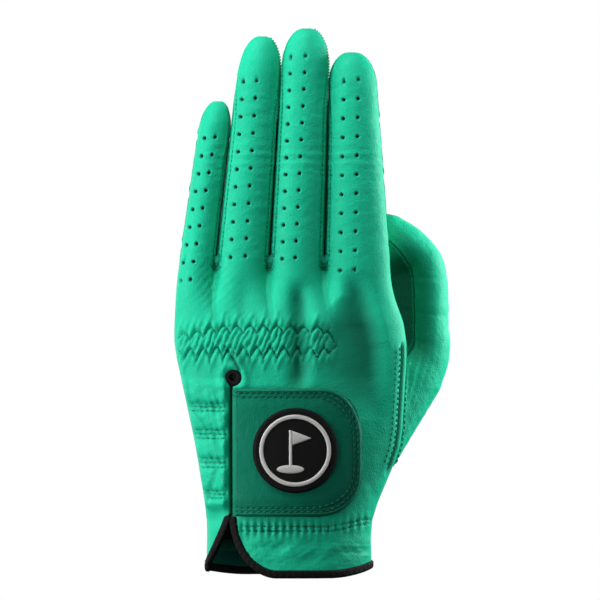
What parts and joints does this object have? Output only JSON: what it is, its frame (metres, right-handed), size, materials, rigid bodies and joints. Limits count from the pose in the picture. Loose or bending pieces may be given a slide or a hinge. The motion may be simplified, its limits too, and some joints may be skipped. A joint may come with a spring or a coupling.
{
  "type": "golf glove",
  "caption": "Left-hand leather golf glove standing on its cuff as if worn, with vented fingers, gathered knuckles and a hook-and-loop wrist tab.",
  "frame": {"origin": "centre of the cuff opening, level with the underside of the hem", "axes": "+Z from the hem to the finger tips, +X towards the thumb, -Y out of the back of the hand"},
  "size_m": [0.1161, 0.0595, 0.2305],
  "materials": {
    "glove_leather": "soft satin",
    "side_leather": "soft satin",
    "black_binding": "matt woven tape",
    "elastic_tape": "matt",
    "hook_and_loop": "matt pile",
    "badge_twill": "matt twill",
    "badge_thread": "satin thread"
  },
  "bodies": {
    "hand": {"back_panel": "glove_leather", "palm_panel": "glove_leather", "hem_binding": "black_binding", "notch_binding": "black_binding", "keyhole_binding": "black_binding", "knuckle_elastic": "elastic_tape", "side_elastics": "elastic_tape", "wrist_elastic": "elastic_tape", "palm_elastic": "elastic_tape", "loop_patch": "hook_and_loop", "little_ring_fourchette": "side_leather", "ring_middle_fourchette": "side_leather", "middle_index_fourchette": "side_leather", "thumb_base_inner": "glove_leather", "thumb_base_outer": "glove_leather"},
    "tab": {"tab_leather": "glove_leather", "tab_lining": "elastic_tape", "hook_patch": "hook_and_loop", "badge_disc": "badge_twill", "badge_ring": "badge_thread", "badge_motif": "badge_thread"},
    "little_finger": {"little_back": "glove_leather", "little_palm": "glove_leather", "little_fourchette": "side_leather"},
    "ring_finger": {"ring_back": "glove_leather", "ring_palm": "glove_leather", "ring_fourchettes": "side_leather"},
    "middle_finger": {"middle_back": "glove_leather", "middle_palm": "glove_leather", "middle_fourchettes": "side_leather"},
    "index_finger": {"index_back": "glove_leather", "index_palm": "glove_leather", "index_fourchette": "side_leather"},
    "thumb": {"thumb_inner": "glove_leather", "thumb_outer": "glove_leather"}
  },
  "joints": [
    {"name": "little_bend", "type": "hinge", "parent": "hand", "child": "little_finger", "pos_m": [-0.03493, 0.01208, 0.16095], "axis": [-0.9919, 0, 0.1271], "range_deg": [0, 90]},
    {"name": "ring_bend", "type": "hinge", "parent": "hand", "child": "ring_finger", "pos_m": [-0.01614, 0.01022, 0.17074], "axis": [-0.9963, 0, 0.0854], "range_deg": [0, 90]},
    {"name": "middle_bend", "type": "hinge", "parent": "hand", "child": "middle_finger", "pos_m": [0.00494, 0.00954, 0.17308], "axis": [-0.9991, 0, 0.0419], "range_deg": [0, 90]},
    {"name": "index_bend", "type": "hinge", "parent": "hand", "child": "index_finger", "pos_m": [0.02784, 0.01012, 0.16799], "axis": [-0.9997, 0, -0.0262], "range_deg": [0, 90]},
    {"name": "thumb_spread", "type": "hinge", "parent": "hand", "child": "thumb", "pos_m": [0.06779, 0.0175, 0.09156], "axis": [-0.0553, 0.9772, -0.2049], "range_deg": [0, 35]},
    {"name": "tab_lift", "type": "hinge", "parent": "hand", "child": "tab", "pos_m": [-0.0242, -0.0179, 0.053], "axis": [0, 0, -1], "range_deg": [0, 150]}
  ]
}
